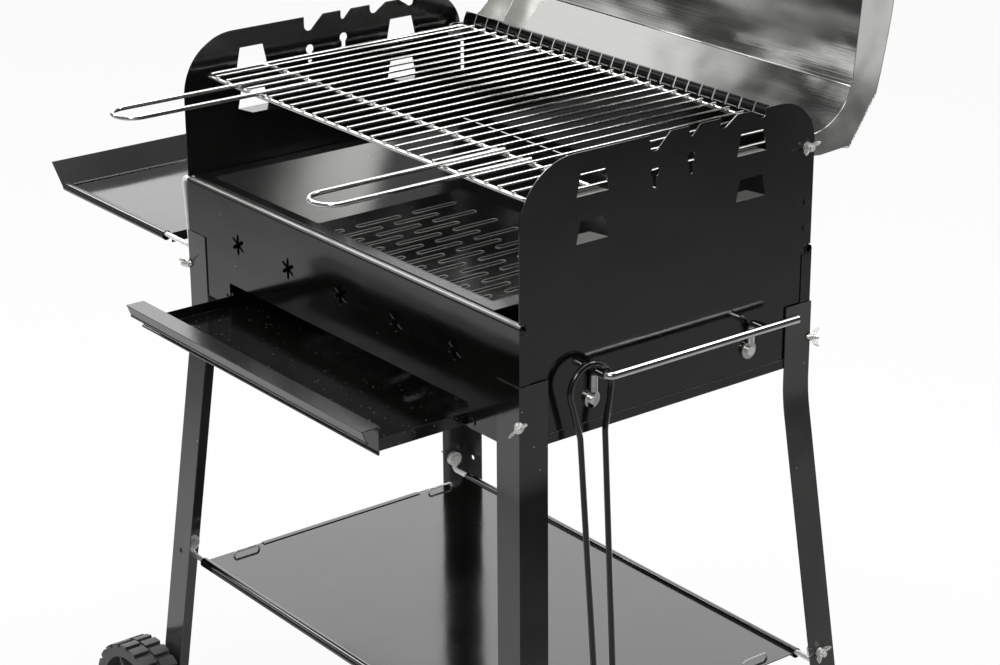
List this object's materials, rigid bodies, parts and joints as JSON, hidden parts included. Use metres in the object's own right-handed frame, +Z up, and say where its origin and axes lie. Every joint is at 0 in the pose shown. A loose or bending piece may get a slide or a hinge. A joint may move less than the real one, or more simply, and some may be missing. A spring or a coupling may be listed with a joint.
{
  "type": "charcoal grill cart",
  "caption": "Wheeled charcoal grill cart of black sheet with hinged steel lid, wire grate, charcoal pan, pull-out ash tray, side and bottom shelves, tool bar and tongs.",
  "frame": {"origin": "middle of the bounding box, on the floor", "axes": "+Z up, +X to the right (tool bar side), +Y to the back (lid side)"},
  "size_m": [0.9364, 0.6448, 1.1555],
  "materials": {
    "black_enamel": "gloss black enamel",
    "pan_enamel": "satin dark grey enamel",
    "stainless": "polished stainless sheet",
    "chrome_wire": "chrome plated wire",
    "zinc": "bright zinc plate",
    "black_plastic": "matte dark grey plastic"
  },
  "bodies": {
    "cart": {"axle_lock_rings": "zinc", "axle_spacers": "black_plastic", "bottom_shelf": "black_enamel", "box_bolts": "zinc", "box_floor_left": "black_enamel", "box_floor_right": "black_enamel", "box_wing_nuts": "zinc", "floor_rivets": "black_enamel", "front_foot_cap": "black_plastic", "front_left_leg": "black_enamel", "front_panel": "black_enamel", "front_right_leg": "black_enamel", "guard_rivets": "black_enamel", "left_side_wall": "black_enamel", "lid_hinge_bolts": "zinc", "lid_hinge_wing_nuts": "zinc", "rear_foot_cap": "black_plastic", "rear_left_leg": "black_enamel", "rear_panel": "black_enamel", "rear_right_leg": "black_enamel", "rear_wind_guard": "black_enamel", "right_side_wall": "black_enamel", "shelf_bolts": "zinc", "shelf_clips": "chrome_wire", "shelf_rod_front": "chrome_wire", "shelf_rod_rear": "chrome_wire", "shelf_wing_nuts": "zinc", "tool_bar": "chrome_wire", "tool_bar_nuts": "zinc", "tool_bar_screws": "zinc", "wheel_bolts": "zinc"},
    "grate": {"grate_frame": "chrome_wire", "grate_cross_bar": "chrome_wire", "grate_rods": "chrome_wire", "grate_handle_left": "chrome_wire", "grate_handle_right": "chrome_wire"},
    "pan": {"charcoal_pan": "pan_enamel", "charcoal_pan_flange": "pan_enamel"},
    "tray": {"ash_tray": "black_enamel", "ash_tray_lip": "black_enamel"},
    "lid": {"lid_shell": "stainless", "lid_left_cheek": "stainless", "lid_right_cheek": "stainless", "lid_handle": "chrome_wire", "lid_handle_screws": "zinc"},
    "side_table": {"side_shelf": "black_enamel", "side_shelf_hanger_front": "chrome_wire", "side_shelf_hanger_rear": "chrome_wire"},
    "tongs": {"tongs": "black_enamel"},
    "front_wheel": {"front_wheel": "black_plastic", "front_hub_cap": "black_plastic"},
    "rear_wheel": {"rear_wheel": "black_plastic", "rear_hub_cap": "black_plastic"}
  },
  "joints": [
    {"name": "lid_hinge", "type": "hinge", "parent": "cart", "child": "lid", "pos_m": [0.12078, 0.17346, 0.806], "axis": [1, 0, 0], "range_deg": [-12, 95.9]},
    {"name": "ash_tray_slide", "type": "slide", "parent": "cart", "child": "tray", "axis": [0, -1, 0], "range_m": [-0.1025, 0.19]},
    {"name": "grate_slide", "type": "slide", "parent": "cart", "child": "grate", "axis": [0, -1, 0], "range_m": [0, 0.12]},
    {"name": "charcoal_pan_lift", "type": "slide", "parent": "cart", "child": "pan", "axis": [0, 0, 1], "range_m": [0, 0.055]},
    {"name": "side_shelf_pull", "type": "slide", "parent": "cart", "child": "side_table", "axis": [-1, 0, 0], "range_m": [0, 0.04]},
    {"name": "tongs_swing", "type": "hinge", "parent": "cart", "child": "tongs", "pos_m": [0.42078, -0.09654, 0.6425], "axis": [1, 0, 0], "range_deg": [-8, 12]},
    {"name": "front_wheel_spin", "type": "hinge", "parent": "cart", "child": "front_wheel", "pos_m": [-0.20522, -0.24854, 0.075], "axis": [0, 1, 0], "continuous": true},
    {"name": "rear_wheel_spin", "type": "hinge", "parent": "cart", "child": "rear_wheel", "pos_m": [-0.20522, 0.25146, 0.075], "axis": [0, 1, 0], "continuous": true}
  ]
}
